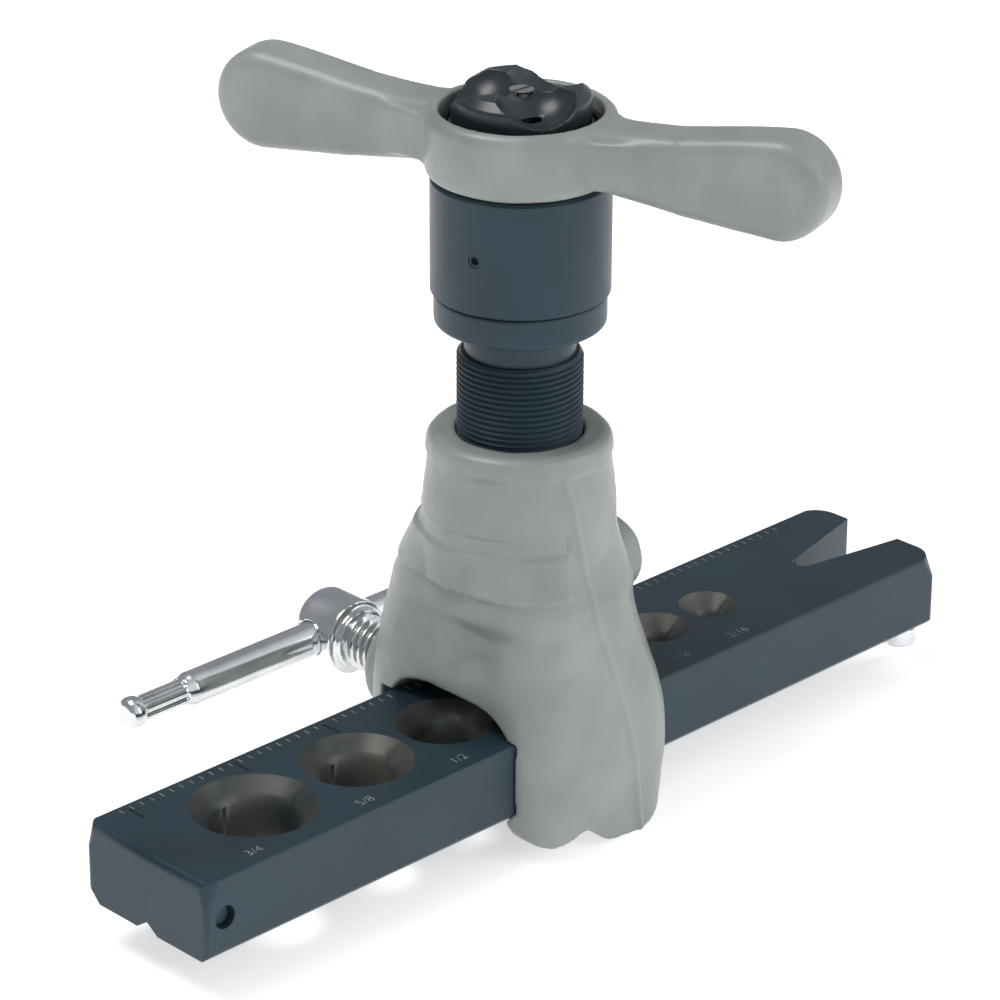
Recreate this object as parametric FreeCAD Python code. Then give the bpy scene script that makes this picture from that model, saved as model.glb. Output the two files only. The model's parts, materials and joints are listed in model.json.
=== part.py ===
"""Ratcheting flaring tool: split die bar, slip-on yoke, feed screw with flaring cone,
slipping clutch, ratchet T-handle and clamp screw.  One STEP file is written per piece.

Frame, millimetres: the origin is on the axis of the 3/8 in tube bore, in the plane of the
bar's bottom face.  +X runs along the bar towards the slotted end, +Y towards the clamp
screw, and +Z up along the feed screw.
"""
import FreeCAD
import Part
import math
import os

os.makedirs("parts", exist_ok=True)
V = FreeCAD.Vector
X_AXIS = V(1, 0, 0)
Y_AXIS = V(0, 1, 0)
Z_AXIS = V(0, 0, 1)
INCH = 25.4

# ---------------------------------------------------------------- driving dimensions
# die bar
BAR_NEAR = -106.4
BAR_FAR = 118.3
BAR_SIDE = 19.0            # half width
BAR_TOP = 18.2
FRONT_CHAMFER = 1.8        # 45 degree chamfers under the two outer edges
REAR_CHAMFER = 3.8
EDGE_BREAK = 0.4           # small bevel along the top outer edges
END_ROUND = 2.0            # rounding of the near end's top edge
SEAM_NOTCH_WIDTH = 3.2     # half width of the V under the seam
SEAM_NOTCH_DEPTH = 2.2
FLARE_DEPTH = 4.3          # 45 degree countersink of every tube bore
TUBE_BORES = (             # tube outside diameter in inches, place along the bar
    (3 / 4, -76.9),
    (5 / 8, -47.8),
    (1 / 2, -22.5),
    (3 / 8, 0.0),
    (5 / 16, 22.5),
    (1 / 4, 43.5),
    (3 / 16, 60.5),
)
INDEX_SETBACK = 19.8       # from a bore to the tick that the yoke's face is set to
TICK_SPAN = (11.5, 16.7)
TICK_HALF_WIDTH = 0.35
TICK_DEPTH = 0.25
SLOT_END = 93.0            # centre of the round end of the slot between the prongs
SLOT_END_R = 2.5
FRONT_MOUTH = 6.9          # from the seam to each prong's inner side, at the mouth
REAR_MOUTH = 8.6
CORNER_BLEND_Z = 12.8      # below this the end corners have their small radius
NEAR_CORNER_R = 1.4
NEAR_CORNER_TOP_R = 4.0
FAR_CORNER_R = 1.7
FAR_CORNER_TOP_R = 6.0
PIN_R = 2.6                # the two guide pins that keep the bar halves in line
NEAR_PIN_X = -101.5
FAR_PIN_X = 78.0
PIN_Z = 9.3
SPREAD = 2.5               # how far the halves open

# yoke
RING_TOP = 80.8
RING_R = 19.7
SCREW_R = 13.55
SCREW_BORE_R = 13.62
CHANNEL_FRONT = -19.15
CHANNEL_REAR = 22.2
CHANNEL_TOP = 18.45
LIP_GAP = 0.15             # between the legs' inward lips and the bar's chamfers
CAVITY_R = 15.5
CAVITY_TOP = 36.5

# feed screw and cone
SCREW_BOTTOM = 35.0
SCREW_TOP = 98.7
NECK_R = 11.9
COLLAR_BOTTOM = 105.1
COLLAR_R = 18.3
CONE_NOSE_Z = 20.7
CONE_NOSE_R = 1.8
CONE_BASE_R = 12.6
SHANK_R = 5.0

# clutch
HOUSING_R = 19.05
HOUSING_BOTTOM = 112.3
HOUSING_TOP = 137.7
PLUNGER_Z = 124.5
PLUNGER_ANGLES = (195.3, 15.3)
BALL_R = 2.4
BALL_SEAT = 12.2           # radius of the ball's centre at rest
BALL_LIFT = 1.4
SLIP_ANGLE = 20.0

# handle
HUB_BOTTOM = 138.0
HUB_TOP = 152.4
HUB_BORE_R = 17.2
HUB_R = 20.2
HANDLE_ANGLE = 108.4
ARM_REACH = 70.3
TEETH = 12
TOOTH_ROOT_R = 11.5
TOOTH_TIP_R = 13.3
PAWL_Z = 142.6
PAWL_R = 2.4
KNOB_R = 14.6
KNOB_TOP = 157.6

# clamp screw
CLAMP_Z = 12.0
CLAMP_R = 6.3
BOSS_FACE = 39.5
HEAD_IN = 52.0
HEAD_OUT = 66.0
HEAD_R = 8.75
TBAR_Y = 59.0
TBAR_R = 4.0
TBAR_THICK = (-44.5, 20.0) # the full-diameter stretch along X


# ---------------------------------------------------------------- helpers
def cylinder(radius, low, high, x=0.0, y=0.0):
    """Upright cylinder between two heights."""
    return Part.makeCylinder(radius, high - low, V(x, y, low), Z_AXIS)


def cone(r_low, r_high, low, high, x=0.0, y=0.0):
    """Upright cone frustum between two heights."""
    return Part.makeCone(r_low, r_high, high - low, V(x, y, low), Z_AXIS)


def rod(radius, start, end):
    """Cylinder between two points."""
    axis = end - start
    return Part.makeCylinder(radius, axis.Length, start, axis)


def box(x0, x1, y0, y1, z0, z1):
    """Box between two corners."""
    return Part.makeBox(x1 - x0, y1 - y0, z1 - z0, V(x0, y0, z0))


def polygon_face(points):
    """Flat face from corner points."""
    wire = Part.makePolygon([V(*p) for p in points] + [V(*points[0])])
    return Part.Face(wire)


def revolve(profile):
    """Solid of revolution about Z from (radius, z) points."""
    face = polygon_face([(r, 0, z) for r, z in profile])
    return face.revolve(V(0, 0, 0), Z_AXIS, 360)


def turned(shape, degrees):
    """The shape turned about the Z axis."""
    copy = shape.copy()
    copy.rotate(V(0, 0, 0), Z_AXIS, degrees)
    return copy


def spring(radius, wire_r, length, turns):
    """Compression spring standing on z = 0 along +Z."""
    pitch = (length - 2 * wire_r) / turns
    path = Part.makeHelix(pitch, pitch * turns, radius)
    profile = Part.Wire(Part.makeCircle(wire_r, V(radius, 0, 0), Y_AXIS))
    coil = Part.Wire(path).makePipeShell([profile], True, True)
    coil.translate(V(0, 0, wire_r))
    return coil


def placed_along(shape, start, direction):
    """A shape built along +Z moved to start and turned to a direction."""
    copy = shape.copy()
    turn = FreeCAD.Rotation(Z_AXIS, direction)
    copy.Placement = FreeCAD.Placement(start, turn).multiply(copy.Placement)
    return copy


def radial(angle, radius, z):
    """Point at an angle and radius about the feed axis."""
    return V(radius * math.cos(math.radians(angle)), radius * math.sin(math.radians(angle)), z)


def solid_of(shape):
    """The shape as one clean solid, or a compound of its solids."""
    clean = shape.removeSplitter()
    if len(clean.Solids) == 1:
        return clean.Solids[0]
    return Part.makeCompound(clean.Solids)


def write(name, shape):
    """Check a piece and write its STEP file."""
    if not shape.isValid() or shape.Volume <= 0:
        print("bad shape", name, shape.isValid(), shape.Volume)
    shape.exportStep("parts/%s.step" % name)
    print("%-22s %2d solid(s) %10.1f mm3" % (name, len(shape.Solids), shape.Volume))


# ---------------------------------------------------------------- die bar
def bar_plan(side):
    """Outline of one half seen from above: seam, sharp-cornered prong and outer edge."""
    mouth = FRONT_MOUTH if side < 0 else REAR_MOUTH
    end = SLOT_END_R * math.sqrt(0.5)
    points = [
        V(BAR_NEAR, 0, 0),
        V(BAR_NEAR, side * BAR_SIDE, 0),
        V(BAR_FAR, side * BAR_SIDE, 0),
        V(BAR_FAR, side * mouth, 0),
        V(SLOT_END, side * SLOT_END_R, 0),
    ]
    root = V(SLOT_END - SLOT_END_R, 0, 0)
    edges = [Part.LineSegment(start, finish) for start, finish in zip(points, points[1:])]
    edges.append(Part.Arc(points[-1], V(SLOT_END - end, side * end, 0), root))
    edges.append(Part.LineSegment(root, points[0]))
    return Part.Wire([edge.toShape() for edge in edges])


def corner_section(x, y, way_x, way_y, r, z):
    """Outside of a corner rounded to radius r, at one height: a square less a quarter disc."""
    k = r * (1 - math.sqrt(0.5))
    out = 1.0
    a = V(x - way_x * r, y, z)
    b = V(x, y - way_y * r, z)
    points = [
        a, V(x - way_x * r, y + way_y * out, z), V(x + way_x * out, y + way_y * out, z),
        V(x + way_x * out, y - way_y * r, z), b,
    ]
    edges = [Part.LineSegment(start, finish) for start, finish in zip(points, points[1:])]
    edges.append(Part.Arc(b, V(x - way_x * k, y - way_y * k, z), a))
    return Part.Wire([edge.toShape() for edge in edges])


def corner_cutters(x, y, way_x, way_y, low_r, top_r):
    """Cutters for an upright corner: one radius low down, opening to a larger one at the top."""
    over = 0.5
    slope = (top_r - low_r) / (BAR_TOP - CORNER_BLEND_Z)
    upper = Part.makeLoft([
        corner_section(x, y, way_x, way_y, low_r, CORNER_BLEND_Z),
        corner_section(x, y, way_x, way_y, top_r + slope * over, BAR_TOP + over),
    ], True, True)
    lower = Part.Face(corner_section(x, y, way_x, way_y, low_r, -over)).extrude(
        V(0, 0, CORNER_BLEND_Z + over))
    return [upper, lower]


def bar_half(side):
    """One half of the die bar; side -1 is the fixed front half, +1 the rear half."""
    blank = Part.Face(bar_plan(side)).extrude(V(0, 0, BAR_TOP))
    c = FRONT_CHAMFER if side < 0 else REAR_CHAMFER
    start = BAR_NEAR - 1
    section = [
        (start, 0, SEAM_NOTCH_DEPTH),
        (start, side * SEAM_NOTCH_WIDTH, 0),
        (start, side * (BAR_SIDE - c), 0),
        (start, side * BAR_SIDE, c),
        (start, side * BAR_SIDE, BAR_TOP - EDGE_BREAK),
        (start, side * (BAR_SIDE - EDGE_BREAK), BAR_TOP),
        (start, 0, BAR_TOP),
    ]
    half = blank.common(polygon_face(section).extrude(V(BAR_FAR - BAR_NEAR + 2, 0, 0)))
    cuts = []
    for inches, x in TUBE_BORES:
        r = inches * INCH / 2
        cuts.append(cylinder(r, -1, BAR_TOP + 1, x))
        cuts.append(cone(r, r + FLARE_DEPTH + 1, BAR_TOP - FLARE_DEPTH, BAR_TOP + 1, x))
    edge_y = side * BAR_SIDE
    cuts += corner_cutters(BAR_NEAR, edge_y, -1, side, NEAR_CORNER_R, NEAR_CORNER_TOP_R)
    cuts += corner_cutters(BAR_FAR, edge_y, 1, side, FAR_CORNER_R, FAR_CORNER_TOP_R)
    rounding = box(start, BAR_NEAR + END_ROUND, -30, 30, BAR_TOP - END_ROUND, BAR_TOP + 1)
    core = V(BAR_NEAR + END_ROUND, -31, BAR_TOP - END_ROUND)
    cuts.append(rounding.cut(rod(END_ROUND, core, core + V(0, 62, 0))))
    return half, cuts


PIN_DEPTH = 13.0           # each blind end of the far guide pin
PIN_RECESS = 1.6
SPRING_SEATS = (-61.9, 70.0)
SPRING_SEAT_R = 2.5
SPRING_SEAT_Z = 6.2
SPRING_SEAT_DEPTH = 5.0
STOP_X = 112.5
STOP_Y = -13.2
STOP_R = 2.5
STOP_HEAD_R = 4.2
STOP_HEAD_LOW = -4.2


def engraved_ticks():
    """Shallow index lines on the bar's top, one for each bore."""
    marks = []
    for _inches, x in TUBE_BORES:
        mark = x - INDEX_SETBACK
        marks.append(box(mark - TICK_HALF_WIDTH, mark + TICK_HALF_WIDTH, TICK_SPAN[0], TICK_SPAN[1],
                         BAR_TOP - TICK_DEPTH, BAR_TOP + 1))
    return marks


def make_bar():
    """Both halves, the guide pins, the spreader springs and the stop screw."""
    reach = BAR_SIDE + 1
    near_pin_hole = rod(PIN_R, V(NEAR_PIN_X, -reach, PIN_Z), V(NEAR_PIN_X, 0, PIN_Z))
    far_pin_hole = rod(PIN_R, V(FAR_PIN_X, -PIN_DEPTH, PIN_Z), V(FAR_PIN_X, 0, PIN_Z))
    front, cuts = bar_half(-1)
    cuts += [near_pin_hole, far_pin_hole]
    for x in SPRING_SEATS:
        cuts.append(rod(SPRING_SEAT_R, V(x, -SPRING_SEAT_DEPTH, SPRING_SEAT_Z), V(x, 0, SPRING_SEAT_Z)))
    cuts.append(cylinder(STOP_R, -1, 9, STOP_X, STOP_Y))
    write("bar_half_front", solid_of(front.cut(cuts)))

    run = PIN_R + 0.06
    rear, cuts = bar_half(1)
    cuts.append(rod(run, V(NEAR_PIN_X, -1, PIN_Z), V(NEAR_PIN_X, reach, PIN_Z)))
    cuts.append(rod(run, V(FAR_PIN_X, -1, PIN_Z), V(FAR_PIN_X, PIN_DEPTH, PIN_Z)))
    for x in SPRING_SEATS:
        cuts.append(rod(SPRING_SEAT_R, V(x, -1, SPRING_SEAT_Z), V(x, SPRING_SEAT_DEPTH, SPRING_SEAT_Z)))
    cuts += engraved_ticks()
    write("bar_half_rear", solid_of(rear.cut(cuts)))

    pin_end = BAR_SIDE - PIN_RECESS
    near_pin = rod(PIN_R, V(NEAR_PIN_X, -pin_end, PIN_Z), V(NEAR_PIN_X, pin_end, PIN_Z))
    write("guide_pin_near", near_pin.makeChamfer(0.5, near_pin.Edges[0:1] + near_pin.Edges[2:3]))
    far_end = PIN_DEPTH - 0.5
    far_pin = rod(PIN_R, V(FAR_PIN_X, -far_end, PIN_Z), V(FAR_PIN_X, far_end, PIN_Z))
    write("guide_pin_far", far_pin.makeChamfer(0.5, far_pin.Edges[0:1] + far_pin.Edges[2:3]))

    coil = spring(1.9, 0.35, 2 * SPRING_SEAT_DEPTH - 0.2, 6)
    start = 0.1 - SPRING_SEAT_DEPTH
    springs = [placed_along(coil, V(x, start, SPRING_SEAT_Z), Y_AXIS) for x in SPRING_SEATS]
    write("spreader_springs", Part.makeCompound(springs))

    head = cylinder(STOP_HEAD_R, STOP_HEAD_LOW, 0, STOP_X, STOP_Y)
    head = head.makeFillet(0.6, [edge for edge in head.Edges if edge.BoundBox.ZMax < STOP_HEAD_LOW + 0.1])
    stop = cylinder(STOP_R, -0.2, 8.5, STOP_X, STOP_Y).fuse(head)
    slot = box(STOP_X - 5, STOP_X + 5, STOP_Y - 0.5, STOP_Y + 0.5, STOP_HEAD_LOW - 1, STOP_HEAD_LOW + 1.2)
    write("stop_screw", solid_of(stop.cut(slot)))


# ---------------------------------------------------------------- yoke
def rounded_section(z, x0, x1, y0, y1, r):
    """Rectangle with round corners, as one wire at height z."""
    k = r * (1 - math.sqrt(0.5))
    edges = [
        Part.LineSegment(V(x0 + r, y0, z), V(x1 - r, y0, z)),
        Part.Arc(V(x1 - r, y0, z), V(x1 - k, y0 + k, z), V(x1, y0 + r, z)),
        Part.LineSegment(V(x1, y0 + r, z), V(x1, y1 - r, z)),
        Part.Arc(V(x1, y1 - r, z), V(x1 - k, y1 - k, z), V(x1 - r, y1, z)),
        Part.LineSegment(V(x1 - r, y1, z), V(x0 + r, y1, z)),
        Part.Arc(V(x0 + r, y1, z), V(x0 + k, y1 - k, z), V(x0, y1 - r, z)),
        Part.LineSegment(V(x0, y1 - r, z), V(x0, y0 + r, z)),
        Part.Arc(V(x0, y0 + r, z), V(x0 + k, y0 + k, z), V(x0 + r, y0, z)),
    ]
    return Part.Wire([edge.toShape() for edge in edges])


YOKE_SECTIONS = (          # z, x low, x high, y low, y high, corner radius
    (-11.0, -20.3, 24.3, -27.6, 31.6, 13.0),
    (4.0, -20.5, 24.5, -28.5, 32.5, 13.4),
    (18.0, -20.5, 24.3, -28.2, 32.5, 13.4),
    (30.0, -20.6, 22.4, -25.6, 30.6, 14.0),
    (45.5, -20.6, 21.6, -22.6, 27.0, 15.5),
)
SHOULDER_SECTIONS = (      # from the crease on the shoulder up to inside the neck
    (45.5, -20.6, 21.6, -22.6, 27.0, 15.5),
    (66.0, -18.6, 18.6, -18.6, 18.6, 18.3),
)
NECK_TOP_R = 20.7
NECK_BOTTOM_R = 21.3
PLATE_LOW = 49.5           # the plain raised plate round the near side of the neck
PLATE_HIGH = 63.5
PLATE_RAISE = 0.8
PLATE_SPAN = (105, 150)    # where it starts about the feed axis, and how far it runs


def toe_profile():
    """Lower outline of the legs along X: two toes with a shallow hollow between them."""
    points = [
        V(-20.6, -45, 2.0),
        V(-19.0, -45, -3.6),
        V(-14.5, -45, -6.4),
        V(-6.5, -45, -4.2),
        V(0.0, -45, -8.4),
        V(6.5, -45, -9.9),
        V(14.5, -45, -9.4),
        V(20.5, -45, -5.5),
        V(24.6, -45, 3.0),
    ]
    curve = Part.BSplineCurve()
    curve.interpolate(points)
    top = 90.0
    lines = [
        Part.LineSegment(points[-1], V(40, -45, top)),
        Part.LineSegment(V(40, -45, top), V(-40, -45, top)),
        Part.LineSegment(V(-40, -45, top), points[0]),
    ]
    wire = Part.Wire([curve.toShape()] + [line.toShape() for line in lines])
    return Part.Face(wire).extrude(V(0, 95, 0))


PLUG_BOSS_Z = 42.0
PLUG_BOSS_R = 8.6
PLUG_BOSS_FACE = 31.0
PLUG_R = 2.5
WINDOW_TOP = 24.0


def shoulder_and_neck(raised, bottom, top):
    """Shoulder and neck of the casting, its surface raised outward by a given amount."""
    sections = []
    for z, x0, x1, y0, y1, r in SHOULDER_SECTIONS:
        sections.append(rounded_section(z, x0 - raised, x1 + raised, y0 - raised, y1 + raised, r + raised))
    shoulder = Part.makeLoft(sections, True, True)
    neck = revolve([
        (0, bottom), (NECK_BOTTOM_R + raised, bottom), (NECK_TOP_R + raised, top), (0, top),
    ])
    return shoulder.fuse(neck)


def make_yoke():
    """The cast yoke, with the friction plug and its set screw in the far boss."""
    legs = Part.makeLoft([rounded_section(*section) for section in YOKE_SECTIONS], True, False)
    legs = legs.common(toe_profile())
    collar = revolve([
        (0, 68), (NECK_TOP_R, 70), (RING_R + 0.25, RING_TOP - 2.2),
        (RING_R - 0.35, RING_TOP - 0.8), (RING_R - 1.7, RING_TOP), (0, RING_TOP),
    ])
    neck_bottom = PLATE_LOW
    sector = Part.makeCylinder(40, PLATE_HIGH - PLATE_LOW, V(0, 0, PLATE_LOW), Z_AXIS, PLATE_SPAN[1])
    plate = shoulder_and_neck(PLATE_RAISE, neck_bottom, 70).common(turned(sector, PLATE_SPAN[0]))
    boss = rod(11.6, V(0, 20, CLAMP_Z), V(0, BOSS_FACE - 2.5, CLAMP_Z))
    boss_end = Part.makeCone(11.6, 9.4, 2.5, V(0, BOSS_FACE - 2.5, CLAMP_Z), Y_AXIS)
    plug_boss = rod(PLUG_BOSS_R, V(14, 0, PLUG_BOSS_Z), V(PLUG_BOSS_FACE - 1.5, 0, PLUG_BOSS_Z))
    plug_end = Part.makeCone(PLUG_BOSS_R, PLUG_BOSS_R - 1.5, 1.5,
                             V(PLUG_BOSS_FACE - 1.5, 0, PLUG_BOSS_Z), X_AXIS)
    yoke = legs.fuse([shoulder_and_neck(0, neck_bottom, 70), plate, collar, boss, boss_end, plug_boss,
                      plug_end])

    front_lip = FRONT_CHAMFER + LIP_GAP
    rear_lip = REAR_CHAMFER + LIP_GAP
    channel = polygon_face([
        (-50, CHANNEL_FRONT, CHANNEL_TOP),
        (-50, CHANNEL_FRONT, front_lip),
        (-50, CHANNEL_FRONT + front_lip + 0.1, -0.1),
        (-50, CHANNEL_FRONT + front_lip + 0.1, -20),
        (-50, CHANNEL_REAR - rear_lip - 0.1, -20),
        (-50, CHANNEL_REAR - rear_lip - 0.1, -0.1),
        (-50, CHANNEL_REAR, rear_lip),
        (-50, CHANNEL_REAR, CHANNEL_TOP),
    ]).extrude(V(100, 0, 0))
    arch_ends = (V(-50, -17.8, 17.5), V(-50, 19.2, 17.5))
    arch = Part.BSplineCurve()
    arch.interpolate([arch_ends[0], V(-50, -13.5, 22.4), V(-50, 0, WINDOW_TOP), V(-50, 14, 22.4), arch_ends[1]])
    sides = [
        Part.LineSegment(arch_ends[1], V(-50, 19.2, 12)),
        Part.LineSegment(V(-50, 19.2, 12), V(-50, -17.8, 12)),
        Part.LineSegment(V(-50, -17.8, 12), arch_ends[0]),
    ]
    outline = Part.Wire([edge.toShape() for edge in [arch] + sides])
    window = Part.Face(outline).extrude(V(100, 0, 0))
    cuts = [
        channel,
        window,
        cylinder(CAVITY_R, 15, CAVITY_TOP),
        cone(CAVITY_R, SCREW_BORE_R, CAVITY_TOP, CAVITY_TOP + 1.9),
        cylinder(SCREW_BORE_R, CAVITY_TOP, RING_TOP + 1),
        cone(SCREW_BORE_R, SCREW_BORE_R + 1.6, RING_TOP - 0.6, RING_TOP + 1),
        rod(CLAMP_R + 0.07, V(0, 20, CLAMP_Z), V(0, BOSS_FACE + 1, CLAMP_Z)),
        rod(7.6, V(0, BAR_SIDE - 0.5, CLAMP_Z), V(0, 25.4, CLAMP_Z)),
        rod(PLUG_R, V(10, 0, PLUG_BOSS_Z), V(PLUG_BOSS_FACE + 1, 0, PLUG_BOSS_Z)),
    ]
    write("yoke", solid_of(yoke.cut(cuts)))

    plug = rod(PLUG_R, V(SCREW_BORE_R + 0.35, 0, PLUG_BOSS_Z), V(19.5, 0, PLUG_BOSS_Z))
    saddle = cylinder(SCREW_BORE_R, PLUG_BOSS_Z - 5, PLUG_BOSS_Z + 5)
    write("friction_plug", solid_of(plug.cut(saddle)))
    screw = rod(PLUG_R, V(19.6, 0, PLUG_BOSS_Z), V(PLUG_BOSS_FACE - 0.8, 0, PLUG_BOSS_Z))
    drive = rod(1.3, V(PLUG_BOSS_FACE - 4, 0, PLUG_BOSS_Z), V(PLUG_BOSS_FACE, 0, PLUG_BOSS_Z))
    write("plug_set_screw", solid_of(screw.cut(drive)))


# ---------------------------------------------------------------- cone and feed screw
RING_GROOVE_Z = 40.0


def make_cone():
    """Flaring cone with its shank, the thrust ball above it and the ring that keeps it in."""
    base = CONE_NOSE_Z + CONE_BASE_R - CONE_NOSE_R
    shank_top = 48.0
    profile = [
        (0, CONE_NOSE_Z), (CONE_NOSE_R, CONE_NOSE_Z), (CONE_BASE_R, base),
        (CONE_BASE_R, base + 2.4), (CONE_BASE_R - 0.6, SCREW_BOTTOM - 0.5), (SHANK_R, SCREW_BOTTOM - 0.5),
        (SHANK_R, RING_GROOVE_Z), (SHANK_R - 0.9, RING_GROOVE_Z), (SHANK_R - 0.9, RING_GROOVE_Z + 1.2),
        (SHANK_R, RING_GROOVE_Z + 1.2), (SHANK_R, shank_top - 0.5), (SHANK_R - 0.5, shank_top), (0, shank_top),
    ]
    write("flare_cone", solid_of(revolve(profile)))
    ring = cylinder(SHANK_R + 0.8, RING_GROOVE_Z + 0.1, RING_GROOVE_Z + 1.1)
    ring = ring.cut([cylinder(SHANK_R - 0.9, RING_GROOVE_Z, RING_GROOVE_Z + 2),
                     box(0, 10, -1.2, 1.2, RING_GROOVE_Z, RING_GROOVE_Z + 2)])
    write("cone_retaining_ring", solid_of(ring))
    ball_r = 4.0
    write("thrust_ball", Part.makeSphere(ball_r, V(0, 0, shank_top + ball_r + 0.02)))


SPIGOT_R = 7.0
SPIGOT_TOP = 130.0
CAM_TOP = 130.0
CAM_PIN_Z = 108.9
CAM_PIN_R = 1.6


def make_feed_screw():
    """Feed screw: thread stem at its major diameter, neck and clutch spigot."""
    stem = revolve([
        (0, SCREW_BOTTOM), (SCREW_R - 0.9, SCREW_BOTTOM), (SCREW_R, SCREW_BOTTOM + 0.9),
        (SCREW_R, SCREW_TOP - 0.9), (SCREW_R - 0.9, SCREW_TOP), (NECK_R, SCREW_TOP),
        (NECK_R, COLLAR_BOTTOM), (SPIGOT_R, COLLAR_BOTTOM), (SPIGOT_R, SPIGOT_TOP), (0, SPIGOT_TOP),
    ])
    bore = SHANK_R + 0.05
    cuts = [
        cylinder(bore, SCREW_BOTTOM - 1, 56.1),
        cylinder(SHANK_R + 1.1, RING_GROOVE_Z - 0.2, RING_GROOVE_Z + 1.4),
        rod(CAM_PIN_R, V(-20, 0, CAM_PIN_Z), V(20, 0, CAM_PIN_Z)),
    ]
    write("feed_screw", solid_of(stem.cut(cuts)))


def cam_outline():
    """Clutch cam seen from above: two ramps that lift the balls as the cam slips."""
    clearance = BALL_R + 0.12
    rise = BALL_LIFT / math.radians(SLIP_ANGLE)
    points = []
    for start in PLUNGER_ANGLES:
        # the flank under a ball that moves clockwise round the cam and outwards
        for step in range(-1, 6):
            turn = step * SLIP_ANGLE / 5
            radius = BALL_SEAT + rise * math.radians(max(turn, 0))
            lean = math.atan2(rise, radius) if step > 0 else 0.0
            centre = radial(start - turn, radius, 0)
            inward = radial(start - turn + math.degrees(lean), clearance, 0)
            points.append(centre - inward)
        crest = BALL_SEAT + BALL_LIFT - clearance
        points.append(radial(start - 60, crest, 0))
        points.append(radial(start - 120, crest, 0))
        points.append(radial(start - 150, crest, 0))
        points.append(radial(start - 168, crest, 0))
    return Part.Wire(Part.makePolygon(points + [points[0]]))


def make_clutch_cam():
    """Collar with the cam on top, pinned to the screw's spigot."""
    collar = revolve([
        (0, COLLAR_BOTTOM + 0.02), (COLLAR_R - 0.9, COLLAR_BOTTOM + 0.02), (COLLAR_R - 0.3, COLLAR_BOTTOM + 0.3),
        (COLLAR_R, COLLAR_BOTTOM + 0.9), (COLLAR_R, HOUSING_BOTTOM - 0.6), (COLLAR_R - 0.3, HOUSING_BOTTOM - 0.3),
        (0, HOUSING_BOTTOM - 0.3),
    ])
    cam = Part.Face(cam_outline()).extrude(V(0, 0, CAM_TOP - HOUSING_BOTTOM + 1))
    cam.translate(V(0, 0, HOUSING_BOTTOM - 1))
    whole = collar.fuse(cam)
    cuts = [
        cylinder(SPIGOT_R, COLLAR_BOTTOM - 1, CAM_TOP + 1),
        rod(CAM_PIN_R, V(-20, 0, CAM_PIN_Z), V(20, 0, CAM_PIN_Z)),
    ]
    write("clutch_cam", solid_of(whole.cut(cuts)))
    reach = COLLAR_R - 1.2
    write("cam_pin", rod(CAM_PIN_R, V(-reach, 0, CAM_PIN_Z), V(reach, 0, CAM_PIN_Z)))


# ---------------------------------------------------------------- clutch housing
POST_R = 4.0
POST_TOP = 151.4
CLIP_Z = 149.2
SET_SCREW_IN = 17.2
SPRING_IN = BALL_SEAT + 1.3
VISIBLE_HOLE_R = 1.5


def make_clutch_housing():
    """Outer clutch sleeve with its ball plungers, and the post that the handle turns on."""
    shell = revolve([
        (14.9, HOUSING_BOTTOM + 1.2), (17.2, HOUSING_BOTTOM), (HOUSING_R - 0.4, HOUSING_BOTTOM),
        (HOUSING_R, HOUSING_BOTTOM + 0.4), (HOUSING_R, HOUSING_TOP - 0.7), (HOUSING_R - 0.7, HOUSING_TOP),
        (17.1, HOUSING_TOP), (17.1, HOUSING_TOP + 2.0), (9.0, HOUSING_TOP + 2.0),
        (9.0, 146.0), (POST_R, 146.0), (POST_R, CLIP_Z), (POST_R - 0.7, CLIP_Z), (POST_R - 0.7, CLIP_Z + 1.0),
        (POST_R, CLIP_Z + 1.0), (POST_R, POST_TOP), (0, POST_TOP), (0, CAM_TOP + 1.0), (14.9, CAM_TOP + 1.0),
    ])
    guide = cylinder(HOUSING_R - 1, PLUNGER_Z - 4.5, PLUNGER_Z + 4.5).cut(cylinder(11.6, 100, 140))
    shell = shell.fuse(guide)
    cuts = []
    for angle in PLUNGER_ANGLES:
        inner = radial(angle, 5, PLUNGER_Z)
        cuts.append(rod(BALL_R + 0.06, inner, radial(angle, SET_SCREW_IN + 1.6, PLUNGER_Z)))
        cuts.append(rod(VISIBLE_HOLE_R, inner, radial(angle, 25, PLUNGER_Z)))
    cuts.append(cylinder(12.0 + BALL_LIFT, HOUSING_BOTTOM, PLUNGER_Z - 3.2))
    key = rod(1.0, V(9.0, 0, 139.8), V(9.0, 0, 146.2))
    cuts.append(key)
    write("clutch_housing", solid_of(shell.cut(cuts)))

    screws = []
    for angle in PLUNGER_ANGLES:
        body = rod(BALL_R + 0.06, radial(angle, SET_SCREW_IN, PLUNGER_Z), radial(angle, SET_SCREW_IN + 1.6, PLUNGER_Z))
        socket = rod(0.9, radial(angle, SET_SCREW_IN + 0.5, PLUNGER_Z), radial(angle, SET_SCREW_IN + 3, PLUNGER_Z))
        screws.append(body.cut(socket))
    write("clutch_adjusters", Part.makeCompound(screws))

    coils = []
    coil = spring(1.7, 0.3, SET_SCREW_IN - SPRING_IN - BALL_R + 1.1, 3)
    for angle in PLUNGER_ANGLES:
        start = radial(angle, SPRING_IN + BALL_R - 1.15, PLUNGER_Z)
        coils.append(placed_along(coil, start, radial(angle, 1, 0)))
    write("clutch_springs", Part.makeCompound(coils))
    names = ("clutch_ball_front", "clutch_ball_rear")
    for name, angle in zip(names, PLUNGER_ANGLES):
        write(name, Part.makeSphere(BALL_R, radial(angle, BALL_SEAT, PLUNGER_Z)))


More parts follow.
